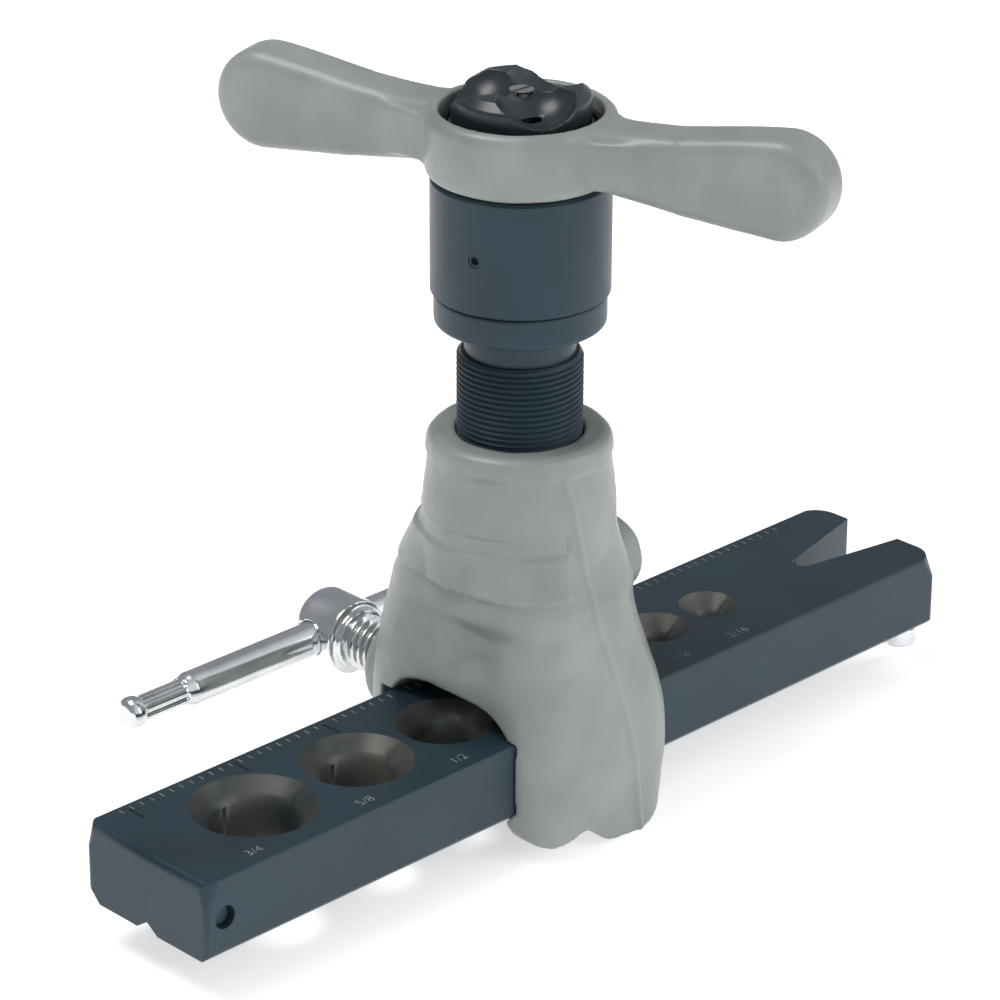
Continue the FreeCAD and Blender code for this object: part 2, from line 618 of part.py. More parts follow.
def make_ratchet():
    """Toothed wheel keyed to the housing, the sprung pawl in the arm and the post's clip."""
    points = []
    pitch = 360 / TEETH
    for tooth in range(TEETH):
        start = HANDLE_ANGLE - 4.0 + tooth * pitch
        points.append(radial(start, TOOTH_ROOT_R, 0))
        points.append(radial(start + 4.0, TOOTH_ROOT_R, 0))
        for step in range(1, 5):
            share = step / 4
            radius = TOOTH_ROOT_R + share * (TOOTH_TIP_R - TOOTH_ROOT_R)
            points.append(radial(start + 4.0 + share * (pitch - 4.0 - 0.6), radius, 0))
    wheel = Part.Face(Part.Wire(Part.makePolygon(points + [points[0]]))).extrude(V(0, 0, 5.6))
    wheel.translate(V(0, 0, HOUSING_TOP + 2.1))
    wheel = wheel.cut([cylinder(9.0, 130, 150), rod(1.0, V(9.0, 0, 139), V(9.0, 0, 147))])
    write("ratchet_wheel", solid_of(wheel))
    write("ratchet_key", rod(1.0, V(9.0, 0, 139.9), V(9.0, 0, 145.3)))

    tip = TOOTH_ROOT_R + 0.25
    tail = 23.0
    pawl = rod(PAWL_R, V(tip, 0, PAWL_Z), V(tail, 0, PAWL_Z))
    slope = polygon_face([
        (tip - 1, -0.6, 130), (tip, -0.6, 130), (tip + 2.2, 3.2, 130), (tip - 1, 3.2, 130),
    ]).extrude(V(0, 0, 30))
    drive_side = box(tip - 1, tip + 3.2, -5, -0.6, 130, 160)
    pawl = pawl.cut([slope, drive_side])
    write("pawl", turned(solid_of(pawl), HANDLE_ANGLE))
    coil = spring(1.7, 0.32, 6.6, 4)
    seat = radial(HANDLE_ANGLE, tail + 0.1, PAWL_Z)
    write("pawl_spring", placed_along(coil, seat, radial(HANDLE_ANGLE, 1, 0)))
    clip = cylinder(6.4, CLIP_Z + 0.05, CLIP_Z + 0.95)
    clip = clip.cut([cylinder(POST_R - 0.7, CLIP_Z - 1, CLIP_Z + 2), box(0, 10, -2.2, 2.2, CLIP_Z - 1, CLIP_Z + 2)])
    write("post_clip", solid_of(clip))


# ---------------------------------------------------------------- handle and knob
COVER_LOW = 146.4
COVER_HIGH = 148.9
KNOB_BASE = 149.2


ARM_HALF_THICKNESS = 6.5
ARM_EDGE_R = 3.5


def arm_outline():
    """Side view of one arm: a waist by the hub that swells to a round paddle."""
    top_points = [V(12, 0, 152.1), V(24, 0, 152.3), V(38, 0, 153.4), V(50, 0, 155.3), V(60, 0, 156.5)]
    bottom_points = [V(58, 0, 134.7), V(46, 0, 135.6), V(30, 0, 137.2), V(22, 0, 138.2), V(12, 0, 138.5)]
    top = Part.BSplineCurve()
    top.interpolate(top_points)
    bottom = Part.BSplineCurve()
    bottom.interpolate(bottom_points)
    tip = Part.Arc(top_points[-1], V(ARM_REACH, 0, 146.2), bottom_points[0])
    root = Part.LineSegment(bottom_points[-1], top_points[0])
    return Part.Wire([piece.toShape() for piece in (top, tip, bottom, root)])


def arm():
    """One arm along +X: the side outline thickened, with every edge past the hub rounded."""
    slab = Part.Face(arm_outline()).extrude(V(0, 2 * ARM_HALF_THICKNESS, 0))
    slab.translate(V(0, -ARM_HALF_THICKNESS, 0))
    edges = []
    for edge in slab.Edges:
        in_side_face = edge.BoundBox.YLength < 1e-6
        if in_side_face and edge.BoundBox.XMax > 13:
            edges.append(edge)
    return slab.makeFillet(ARM_EDGE_R, edges)


def make_handle():
    """T-handle: hub ring with two paddle arms, bored for the pawl."""
    hub = revolve([
        (HUB_BORE_R - 2, HUB_BOTTOM), (HUB_R - 1.6, HUB_BOTTOM), (HUB_R - 0.4, HUB_BOTTOM + 0.7),
        (HUB_R, HUB_BOTTOM + 2), (HUB_R, HUB_TOP - 2.2), (HUB_R - 0.6, HUB_TOP - 0.8),
        (HUB_R - 1.7, HUB_TOP), (HUB_BORE_R - 2, HUB_TOP),
    ])
    one = arm()
    handle = hub.fuse([turned(one, HANDLE_ANGLE), turned(one, HANDLE_ANGLE + 180)])
    inner = radial(HANDLE_ANGLE, 5, PAWL_Z)
    cuts = [
        cylinder(HUB_BORE_R, HUB_BOTTOM - 5, HUB_TOP + 8),
        rod(PAWL_R + 0.07, inner, radial(HANDLE_ANGLE, 29.8, PAWL_Z)),
    ]
    write("t_handle", solid_of(handle.cut(cuts)))

    cover = cylinder(HUB_BORE_R, COVER_LOW, COVER_HIGH).cut(cylinder(POST_R + 0.06, 140, 160))
    groove = cylinder(16.2, COVER_HIGH - 1.2, COVER_HIGH + 1).cut(cylinder(15.2, 140, 160))
    write("hub_cover", solid_of(cover.cut(groove)))


def make_knob():
    """Reversing knob with three finger hollows, its screw and the cam plate under the cover."""
    body = revolve([
        (0, KNOB_BASE), (KNOB_R, KNOB_BASE), (KNOB_R, KNOB_TOP - 2.4), (KNOB_R - 2.0, KNOB_TOP - 0.4),
        (4.5, KNOB_TOP), (0, KNOB_TOP),
    ])
    hollows = []
    for turn in (125.6, 245.6, 5.6):
        hollows.append(Part.makeSphere(9.2, radial(turn, 9.6, KNOB_TOP + 2.6)))
    cuts = hollows + [
        cylinder(7.2, KNOB_BASE - 1, POST_TOP + 0.4),
        cylinder(2.0, KNOB_BASE, KNOB_TOP + 1),
        cylinder(2.8, KNOB_TOP - 2.0, KNOB_TOP + 1),
    ]
    write("selector_knob", solid_of(body.cut(cuts)))
    screw = cylinder(2.0, POST_TOP + 0.8, KNOB_TOP - 2.0).fuse(cone(2.0, 2.6, KNOB_TOP - 2.0, KNOB_TOP - 1.4))
    screw = screw.cut(box(-3, 3, -0.4, 0.4, KNOB_TOP - 2.2, KNOB_TOP))
    write("knob_screw", solid_of(screw))


# ---------------------------------------------------------------- clamp screw
PAD_IN = BAR_SIDE + 0.05
PAD_OUT = 21.9
HEAD_DOME = 4.0            # rounding of the head's outer rim


END_LENGTH_NEAR = 18.5
END_LENGTH_FAR = 11.0


def fluted_end(length):
    """Swaged end of the T-bar, built along +Z: a fluted waist and a round tip."""
    waist_r = 3.1
    tip_r = 3.7
    flute_r = 0.9
    low = 2.6
    high = length - 4.6
    stem = revolve([
        (0, 0), (TBAR_R, 0), (TBAR_R - 0.5, 1.2), (waist_r, low), (waist_r, high), (tip_r, high + 1.4),
        (tip_r, length - 1.8), (tip_r - 0.5, length - 0.8), (tip_r - 1.5, length - 0.2), (0, length),
    ])
    flutes = []
    for turn in range(0, 360, 60):
        start = radial(turn + 30, waist_r + 0.35, low - 0.6)
        flutes.append(rod(flute_r, start, start + V(0, 0, high - low + 1.2)))
    return stem.cut(flutes)


def make_clamp():
    """Swivel pad, clamp screw with its round head, and the sliding T-bar."""
    pad = rod(7.2, V(0, PAD_IN, CLAMP_Z), V(0, PAD_OUT, CLAMP_Z))
    socket = rod(3.06, V(0, PAD_IN + 1.0, CLAMP_Z), V(0, PAD_OUT + 1, CLAMP_Z))
    write("clamp_pad", solid_of(pad.cut(socket)))

    nose = rod(3.0, V(0, PAD_IN + 1.1, CLAMP_Z), V(0, PAD_OUT + 0.3, CLAMP_Z))
    stem = rod(CLAMP_R, V(0, PAD_OUT + 0.05, CLAMP_Z), V(0, HEAD_IN + 0.5, CLAMP_Z))
    collar = rod(7.3, V(0, HEAD_IN - 2.0, CLAMP_Z), V(0, HEAD_IN + 0.5, CLAMP_Z))
    head = rod(HEAD_R, V(0, HEAD_IN, CLAMP_Z), V(0, HEAD_OUT, CLAMP_Z))
    outer_rim = [edge for edge in head.Edges if edge.BoundBox.YMin > HEAD_OUT - 0.1]
    head = head.makeFillet(HEAD_DOME, outer_rim)
    screw = head.fuse([nose, stem, collar])
    screw = screw.cut(rod(TBAR_R + 0.05, V(-20, TBAR_Y, CLAMP_Z), V(20, TBAR_Y, CLAMP_Z)))
    write("clamp_screw", solid_of(screw))

    left, right = [V(x, TBAR_Y, CLAMP_Z) for x in TBAR_THICK]
    middle = rod(TBAR_R, left, right)
    near_end = placed_along(fluted_end(END_LENGTH_NEAR), left, V(-1, 0, 0))
    far_end = placed_along(fluted_end(END_LENGTH_FAR), right, X_AXIS)
    write("t_bar", solid_of(middle.fuse([near_end, far_end])))


make_bar()
make_yoke()
make_cone()
make_feed_screw()
make_clutch_cam()
make_clutch_housing()
make_ratchet()
make_handle()
make_knob()
make_clamp()
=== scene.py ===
"""Looks of a ratcheting flaring tool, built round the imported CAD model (metres, same frame)."""

import json
import math

import bmesh
import bpy
from mathutils import Matrix, Vector, noise


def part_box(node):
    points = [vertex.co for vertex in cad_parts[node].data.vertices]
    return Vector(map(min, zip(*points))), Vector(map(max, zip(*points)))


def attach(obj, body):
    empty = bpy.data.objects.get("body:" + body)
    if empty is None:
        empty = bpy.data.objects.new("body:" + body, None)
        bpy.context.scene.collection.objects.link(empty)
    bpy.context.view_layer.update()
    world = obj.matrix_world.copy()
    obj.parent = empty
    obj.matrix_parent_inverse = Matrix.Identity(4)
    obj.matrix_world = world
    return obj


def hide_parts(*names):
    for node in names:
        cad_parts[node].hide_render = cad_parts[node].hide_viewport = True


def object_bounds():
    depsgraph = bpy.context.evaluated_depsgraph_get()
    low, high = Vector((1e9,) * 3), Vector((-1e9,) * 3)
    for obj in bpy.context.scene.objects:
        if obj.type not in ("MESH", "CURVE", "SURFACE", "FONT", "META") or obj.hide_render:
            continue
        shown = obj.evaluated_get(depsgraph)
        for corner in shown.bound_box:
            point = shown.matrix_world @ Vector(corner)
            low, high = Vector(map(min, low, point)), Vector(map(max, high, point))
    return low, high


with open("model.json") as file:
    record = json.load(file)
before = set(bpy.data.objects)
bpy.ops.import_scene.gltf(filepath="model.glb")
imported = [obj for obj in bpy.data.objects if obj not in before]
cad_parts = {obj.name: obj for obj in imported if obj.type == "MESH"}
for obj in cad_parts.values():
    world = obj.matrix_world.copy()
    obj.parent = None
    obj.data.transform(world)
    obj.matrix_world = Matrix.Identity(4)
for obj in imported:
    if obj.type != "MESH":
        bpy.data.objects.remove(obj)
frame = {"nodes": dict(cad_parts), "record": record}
cad_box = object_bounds()
NODES = frame["nodes"]
BODY_OF = {node: body for body, nodes in frame["record"]["behaviour"]["bodies"].items() for node in nodes}
MM = 0.001

# places shared with the CAD model, millimetres
FEED_PITCH = 1.27
FEED_MAJOR_R = 13.5
FEED_DEPTH = 0.72
THREAD_TOP = 98.7
NECK_R = 11.9
NECK_TOP = 105.1
SPIGOT_R = 7.0
SHANK_BORE_R = 5.05
SHANK_BORE_TOP = 56.1
CLAMP_Z = 12.0
CLAMP_PITCH = 25.4 / 13
CLAMP_R = 6.3
CLAMP_DEPTH = 0.95
STEM_LOW = 22.2
STEM_HIGH = 50.2
BOSS_R = 11.6
PLUG_BOSS_Z = 42.0
PLUG_BOSS_R = 8.6
HANDLE_ANGLE = 108.4
TICK_SETBACK = 19.8

# marks of the casting, millimetres: how deep or high each one is
WAIST = 0.5
PLATE_STEP = 0.8
SHOULDER_HOLLOW = 1.3
RIDGE = 0.45
RIDGE_HALF_WIDTH = 1.3

# marks let into the bar's top, millimetres
NUMBER_HEIGHT = 3.4
NUMBER_Y = -14.6
NUMBER_GAP = 3.2
NUMBER_DEPTH = 0.14
SCALE_STEP = 2.7
SCALE_START = 8
SCALE_Y = (15.9, 17.6)
SCALE_HALF_WIDTH = 0.16
SCALE_DEPTH = 0.12
COUNTERSINK_REACH = 4.4


# ---------------------------------------------------------------- camera, floor and light
def make_camera():
    """Camera at the photograph's angle: from the near end, a little above."""
    data = bpy.data.cameras.new("camera")
    data.sensor_width = 36.0
    data.lens = 154.70
    data.clip_end = 20.0
    camera = bpy.data.objects.new("camera", data)
    place = (-0.5892, -0.5952, 0.4458)
    azimuth = -44.427
    elevation = 24.544
    roll = 0.218
    turn = (Matrix.Rotation(math.radians(azimuth), 4, "Z")
            @ Matrix.Rotation(math.radians(90 - elevation), 4, "X")
            @ Matrix.Rotation(math.radians(roll), 4, "Z"))
    camera.matrix_world = Matrix.Translation(place) @ turn
    bpy.context.scene.collection.objects.link(camera)
    bpy.context.scene.camera = camera


def make_floor(height):
    """Wide pale sheet under the tool that reads as a white light table."""
    reach = 6.0
    corners = [(-reach, -reach, 0), (reach, -reach, 0), (reach, reach, 0), (-reach, reach, 0)]
    mesh = bpy.data.meshes.new("floor")
    mesh.from_pydata(corners, [], [(0, 1, 2, 3)])
    floor = bpy.data.objects.new("floor", mesh)
    floor.location.z = height
    bpy.context.scene.collection.objects.link(floor)
    material = bpy.data.materials.new("floor_paper")
    material.use_nodes = True
    shader = material.node_tree.nodes["Principled BSDF"]
    shader.inputs["Base Color"].default_value = (0.85, 0.85, 0.85, 1)
    shader.inputs["Roughness"].default_value = 0.9
    shader.inputs["Emission Color"].default_value = (1.0, 1.0, 1.0, 1)
    shader.inputs["Emission Strength"].default_value = 0.55
    mesh.materials.append(material)


def area_light(name, place, target, size, power):
    """Soft square light at a place, aimed at a target."""
    data = bpy.data.lights.new(name, "AREA")
    data.shape = "SQUARE"
    data.size = size
    data.energy = power
    light = bpy.data.objects.new(name, data)
    light.location = place
    light.rotation_euler = (Vector(target) - Vector(place)).to_track_quat("-Z", "Y").to_euler()
    bpy.context.scene.collection.objects.link(light)


def make_light():
    """Surround that is bright towards -Y and partly +X, dim elsewhere, with a high key and a lower fill."""
    bright_side = Vector((0.40, -0.88, 0.15)).normalized()
    dim = (0.30, 0.31, 0.33, 1)
    bright = (0.78, 0.82, 0.86, 1)
    middle = (0.0, 0.0, 0.08)
    world = bpy.data.worlds.new("studio")
    world.use_nodes = True
    tree = world.node_tree
    background = tree.nodes["Background"]
    place = tree.nodes.new("ShaderNodeTexCoord")
    toward = tree.nodes.new("ShaderNodeVectorMath")
    toward.operation = "DOT_PRODUCT"
    toward.inputs[1].default_value = bright_side
    tree.links.new(place.outputs["Generated"], toward.inputs[0])
    ramp = tree.nodes.new("ShaderNodeValToRGB")
    ramp.color_ramp.elements[0].position = 0.10
    ramp.color_ramp.elements[0].color = dim
    ramp.color_ramp.elements[1].position = 0.75
    ramp.color_ramp.elements[1].color = bright
    tree.links.new(toward.outputs["Value"], ramp.inputs["Fac"])
    tree.links.new(ramp.outputs["Color"], background.inputs["Color"])
    background.inputs["Strength"].default_value = 1.0
    bpy.context.scene.world = world
    bpy.context.scene.view_settings.view_transform = "Standard"
    area_light("key", (-0.45, 0.3, 1.25), middle, 0.6, 9.5)
    area_light("fill", (0.6, -1.2, 0.6), middle, 0.9, 4.5)


# ---------------------------------------------------------------- materials
def surface(name, dark, light, scale, roughness, rough_spread, metallic=0.0, bump=0.0, bump_scale=900.0,
            specular=0.5, coat=0.0, edge=0.0):
    """Mottled colour between two tones, uneven roughness, a fine bump and softened edges."""
    material = bpy.data.materials.new(name)
    material.use_nodes = True
    tree = material.node_tree
    nodes = tree.nodes
    links = tree.links
    shader = nodes["Principled BSDF"]
    shader.inputs["Metallic"].default_value = metallic
    shader.inputs["Specular IOR Level"].default_value = specular
    shader.inputs["Coat Weight"].default_value = coat
    place = nodes.new("ShaderNodeTexCoord")
    mottle = nodes.new("ShaderNodeTexNoise")
    mottle.inputs["Scale"].default_value = scale
    mottle.inputs["Detail"].default_value = 6.0
    links.new(place.outputs["Object"], mottle.inputs["Vector"])
    ramp = nodes.new("ShaderNodeValToRGB")
    ramp.color_ramp.elements[0].position = 0.32
    ramp.color_ramp.elements[0].color = (*dark, 1)
    ramp.color_ramp.elements[1].position = 0.68
    ramp.color_ramp.elements[1].color = (*light, 1)
    links.new(mottle.outputs["Fac"], ramp.inputs["Fac"])
    links.new(ramp.outputs["Color"], shader.inputs["Base Color"])
    spread = nodes.new("ShaderNodeMapRange")
    spread.inputs["From Min"].default_value = 0.3
    spread.inputs["From Max"].default_value = 0.7
    spread.inputs["To Min"].default_value = roughness - rough_spread
    spread.inputs["To Max"].default_value = roughness + rough_spread
    links.new(mottle.outputs["Fac"], spread.inputs["Value"])
    links.new(spread.outputs["Result"], shader.inputs["Roughness"])
    grain = nodes.new("ShaderNodeTexNoise")
    grain.inputs["Scale"].default_value = bump_scale
    grain.inputs["Detail"].default_value = 4.0
    links.new(place.outputs["Object"], grain.inputs["Vector"])
    relief = nodes.new("ShaderNodeBump")
    relief.inputs["Strength"].default_value = 0.5
    relief.inputs["Distance"].default_value = bump
    links.new(grain.outputs["Fac"], relief.inputs["Height"])
    links.new(relief.outputs["Normal"], shader.inputs["Normal"])
    if edge:
        soften = nodes.new("ShaderNodeBevel")
        soften.samples = 4
        soften.inputs["Radius"].default_value = edge
        links.new(soften.outputs["Normal"], relief.inputs["Normal"])
    return material


MATERIALS = {
    "cast_paint": surface("cast_paint", (0.215, 0.232, 0.214), (0.290, 0.308, 0.286), 55, 0.40, 0.06,
                          bump=0.00016, bump_scale=620, coat=0.1),
    "black_oxide": surface("black_oxide", (0.014, 0.030, 0.043), (0.023, 0.044, 0.060), 45, 0.38, 0.07,
                           metallic=0.12, specular=0.36, bump=0.00002, bump_scale=2500, edge=0.0003),
    "zinc": surface("zinc", (0.66, 0.67, 0.68), (0.80, 0.81, 0.82), 160, 0.16, 0.05, metallic=1.0,
                    bump=0.00001, bump_scale=1800),
    "hard_steel": surface("hard_steel", (0.42, 0.42, 0.41), (0.55, 0.55, 0.53), 200, 0.28, 0.05, metallic=1.0,
                          bump=0.00001, bump_scale=2500),
    "spring_steel": surface("spring_steel", (0.30, 0.30, 0.31), (0.42, 0.42, 0.43), 200, 0.32, 0.05,
                            metallic=1.0, bump=0.00001, bump_scale=2500),
    "nylon": surface("nylon", (0.72, 0.70, 0.62), (0.80, 0.78, 0.70), 80, 0.5, 0.04, bump=0.00001),
    "knob_black": surface("knob_black", (0.012, 0.018, 0.022), (0.020, 0.028, 0.034), 90, 0.33, 0.06,
                          bump=0.00003, bump_scale=1500),
}
# engraved marks: lighter than the oxide, partly a pale fill in the cuts and partly a painted highlight for the
# light their walls catch
ENGRAVED_FILL_AND_SHEEN = surface("engraved_fill_and_sheen", (0.20, 0.23, 0.25), (0.34, 0.37, 0.38), 300, 0.5, 0.05, bump=0.00002)
BORE_STEEL = surface("bore_steel", (0.040, 0.050, 0.055), (0.120, 0.116, 0.098), 70, 0.40, 0.06, metallic=0.5,
                     bump=0.00002, bump_scale=1500)


def finish_cad_nodes():
    """Every CAD node gets the procedural material of its slot."""
    for row in frame["record"]["subparts"]:
        for place in NODES[row["node"]].material_slots:
            place.material = MATERIALS[row["material_slot"]]


# ---------------------------------------------------------------- piece helpers
def one_material(piece, slot):
    """The material of a slot as the only one on a piece."""
    piece.data.materials.clear()
    piece.data.materials.append(MATERIALS[slot])


def new_piece(name, mesh, node, slot):
    """Object that stands for a CAD node, rides on its body and takes a material slot."""
    piece = bpy.data.objects.new(name, mesh)
    bpy.context.scene.collection.objects.link(piece)
    one_material(piece, slot)
    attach(piece, BODY_OF[node])
    return piece


def mesh_from(name, bm):
    """Mesh of a bmesh, with outward normals."""
    bmesh.ops.recalc_face_normals(bm, faces=bm.faces[:])
    mesh = bpy.data.meshes.new(name)
    bm.to_mesh(mesh)
    bm.free()
    return mesh


def settle(piece):
    """Apply every modifier of a piece to its mesh."""
    depsgraph = bpy.context.evaluated_depsgraph_get()
    mesh = bpy.data.meshes.new_from_object(piece.evaluated_get(depsgraph))
    piece.modifiers.clear()
    piece.data = mesh


def shade(piece, angle):
    """Smooth shading with sharp edges above an angle."""
    piece.data.shade_smooth()
    piece.data.set_sharp_from_angle(angle=math.radians(angle))


def smooth(piece, rounds, group=""):
    """Laplacian smoothing of a piece, or of one vertex group."""
    modifier = piece.modifiers.new("smooth", "SMOOTH")
    modifier.factor = 0.5
    modifier.iterations = rounds
    modifier.vertex_group = group
    settle(piece)


def remesh(piece, voxel):
    """Even voxel remesh of a piece, in millimetres."""
    modifier = piece.modifiers.new("remesh", "REMESH")
    modifier.mode = "VOXEL"
    modifier.voxel_size = voxel * MM
    settle(piece)


def soft_zone(piece, name, weight):
    """Vertex group whose weight is a function of a point in millimetres."""
    group = piece.vertex_groups.new(name=name)
    for vertex in piece.data.vertices:
        x, y, z = [c / MM for c in vertex.co]
        value = weight(x, y, z)
        if value > 0:
            group.add([vertex.index], min(value, 1.0), "REPLACE")
    return group.name


def push_out(piece, rise_at):
    """Move every vertex along its normal by a function of the vertex, in millimetres."""
    vertices = piece.data.vertices
    moves = [vertex.normal * (rise_at(vertex) * MM) for vertex in vertices]
    for vertex, move in zip(vertices, moves):
        vertex.co += move


def cast_unevenness(piece, height, size):
    """Slight hand-dressed waviness of a casting, from a fixed noise."""
    push_out(piece, lambda vertex: noise.noise(vertex.co / (size * MM)) * height)


def box_faces(bm, corners):
    """Closed six-sided block from its eight corners: lower four, then upper four."""
    verts = [bm.verts.new(Vector(corner) * MM) for corner in corners]
    for face in ((3, 2, 1, 0), (4, 5, 6, 7), (0, 1, 5, 4), (1, 2, 6, 5), (2, 3, 7, 6), (3, 0, 4, 7)):
        bm.faces.new([verts[i] for i in face])


def block(bm, x0, x1, y0, y1, z0, z1):
    """Closed upright box between two corners."""
    box_faces(bm, [(x, y, z) for z in (z0, z1) for x, y in ((x0, y0), (x1, y0), (x1, y1), (x0, y1))])


# ---------------------------------------------------------------- casting and handle
def near_circle(distance, radius, width):
    """1.6 on a circle, past soft_zone's cap of 1, and 0 at a distance of width from it."""
    return 1.6 * (1 - abs(distance - radius) / width)


def ease(value, low, high):
    """0 below low, 1 above high, and a smooth step between."""
    share = min(max((value - low) / (high - low), 0), 1)
    return share * share * (3 - 2 * share)


def outer_mark(x, y, z):
    """How far the finished outer wall stands off the CAD wall at a point, in millimetres."""
    angle = math.degrees(math.atan2(y, x)) % 360
    under_rim = ease(z, 64, 73) * (1 - ease(z, 75.2, 76.8))
    rise = -WAIST * under_rim
    if 104 < angle < 256:
        plate_top = ease(z, 58.4, 59.2) * (1 - ease(z, 63.4, 63.8))
        rise -= PLATE_STEP * plate_top
    near_side = ease(angle, 138, 165) * (1 - ease(angle, 236, 256))
    under_shoulder = ease(z, 24, 36) * (1 - ease(z, 40, 44))
    rise -= SHOULDER_HOLLOW * under_shoulder * near_side
    if y < -13 and z < 76:
        ridge_x = -5.2 + 10.3 * (75 - z) / 55
        rise += RIDGE * ease(RIDGE_HALF_WIDTH - abs(x - ridge_x), 0, RIDGE_HALF_WIDTH)
    return rise


def casting_marks(piece):
    """Waist under the rim, shortened plate, hollow under the shoulder and the parting ridge."""
    inner_radius = 17

    def rise_at(vertex):
        x, y, z = [c / MM for c in vertex.co]
        away = math.hypot(x, y)
        outward = vertex.normal.x * x + vertex.normal.y * y > 0.25 * away
        return outer_mark(x, y, z) if away > inner_radius and outward else 0

    push_out(piece, rise_at)


def make_yoke():
    """The yoke with a casting's soft edges and blended bosses."""
    piece = new_piece("yoke_casting", NODES["yoke"].data.copy(), "yoke", "cast_paint")
    remesh(piece, 0.45)
    smooth(piece, 2)

    def blends(x, y, z):
        boss = near_circle(math.hypot(x, z - CLAMP_Z), BOSS_R, 3.6) if y > 27 else 0
        plug = near_circle(math.hypot(y, z - PLUG_BOSS_Z), PLUG_BOSS_R, 3.0) if 18 < x < 26 else 0
        return max(boss, plug, 0)

    smooth(piece, 30, soft_zone(piece, "blends", blends))
    casting_marks(piece)
    smooth(piece, 1)
    cast_unevenness(piece, 0.16, 5.0)
    one_material(piece, "cast_paint")
    shade(piece, 60)
    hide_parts("yoke")


def make_handle():
    """The T-handle, its arms faired into the hub ring."""
    fairing_plan = ((18.4, -9.5), (33, -6.0), (33, 6.0), (18.4, 9.5))
    fairing_heights = (139.8, 150.8)
    root, arm = 20.6, 38
    bm = bmesh.new()
    bm.from_mesh(NODES["t_handle"].data)
    for turn in (HANDLE_ANGLE, HANDLE_ANGLE + 180):
        ways = Matrix.Rotation(math.radians(turn), 4, "Z")
        box_faces(bm, [ways @ Vector((x, y, z)) for z in fairing_heights for x, y in fairing_plan])
    piece = new_piece("t_handle_casting", mesh_from("t_handle_casting", bm), "t_handle", "cast_paint")
    remesh(piece, 0.5)
    smooth(piece, 4)

    def blends(x, y, z):
        return 1.0 if root < math.hypot(x, y) < arm else 0

    smooth(piece, 40, soft_zone(piece, "blends", blends))
    cast_unevenness(piece, 0.08, 7.0)
    one_material(piece, "cast_paint")
    shade(piece, 60)
    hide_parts("t_handle")


def make_softened(name, node, slot, voxel, rounds):
    """A turned or moulded piece with its edges broken."""
    piece = new_piece(name, NODES[node].data.copy(), node, slot)
    remesh(piece, voxel)
    smooth(piece, rounds)
    one_material(piece, slot)
    shade(piece, 50)
    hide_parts(node)


# ---------------------------------------------------------------- threads
def thread_strip(bm, low, high, major, depth, pitch, count):
    """Helical thread about Z between two heights, its rows following the helix."""
    crest_share = (1.0, 1.0, 0.62, 0.2, 0.0, 0.0, 0.2, 0.62)
    end_chamfer = 0.9
    steps = len(crest_share)
    rows = (int((high - low) / pitch) + 6) * steps
    start = low - 3 * pitch
    verts = []
    for i in range(rows):
        row = []
        for j in range(count):
            z = start + pitch * (i / steps + j / count)
            to_end = max(min(z - low, high - z), 0)
            r = min(major - depth * (1 - crest_share[i % steps]), major - end_chamfer + to_end)
            angle = 2 * math.pi * j / count
            row.append(bm.verts.new((r * math.cos(angle) * MM, r * math.sin(angle) * MM, z * MM)))
        verts.append(row)
    for i in range(rows - 1):
        for j in range(count - 1):
            bm.faces.new((verts[i][j], verts[i][j + 1], verts[i + 1][j + 1], verts[i + 1][j]))
        if i + steps + 1 < rows:
            bm.faces.new((verts[i][-1], verts[i + steps][0], verts[i + steps + 1][0], verts[i + 1][-1]))
    for height, inner, outer in ((low, True, False), (high, False, True)):
        bmesh.ops.bisect_plane(bm, geom=bm.verts[:] + bm.edges[:] + bm.faces[:], dist=1e-7,
                               plane_co=(0, 0, height * MM), plane_no=(0, 0, 1),
                               clear_inner=inner, clear_outer=outer)


def rim_at(bm, height):
    """Open edges of the mesh at one height."""
    return [edge for edge in bm.edges
            if edge.is_boundary and all(abs(v.co.z - height * MM) < 1e-6 for v in edge.verts)]


def ring_edges(bm, radius, height, count):
    """New circle of edges about Z."""
    made = bmesh.ops.create_circle(bm, segments=count, radius=radius * MM,
                                   matrix=Matrix.Translation((0, 0, height * MM)))
    return list({edge for vert in made["verts"] for edge in vert.link_edges})


def close_end(bm, height, profile, count):
    """From the open rim at a height, through rings of (radius, height), to a closed disc."""
    edges = rim_at(bm, height)
    for radius, z in profile:
        ring = ring_edges(bm, radius, z, count)
        bmesh.ops.bridge_loops(bm, edges=edges + ring)
        edges = ring
    bmesh.ops.holes_fill(bm, edges=edges)


def make_feed_screw():
    """Feed screw with its fine thread, plain neck and clutch spigot."""
    count = 128
    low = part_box("feed_screw")[0][2] / MM
    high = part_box("feed_screw")[1][2] / MM
    bm = bmesh.new()
    thread_strip(bm, low, THREAD_TOP, FEED_MAJOR_R, FEED_DEPTH, FEED_PITCH, count)
    close_end(bm, low, [(SHANK_BORE_R, low), (SHANK_BORE_R, SHANK_BORE_TOP)], count)
    neck = [(NECK_R, THREAD_TOP), (NECK_R, NECK_TOP), (SPIGOT_R, NECK_TOP), (SPIGOT_R, high)]
    close_end(bm, THREAD_TOP, neck, count)
    piece = new_piece("feed_screw_threaded", mesh_from("feed_screw_threaded", bm), "feed_screw", "black_oxide")
    shade(piece, 40)
    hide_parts("feed_screw")


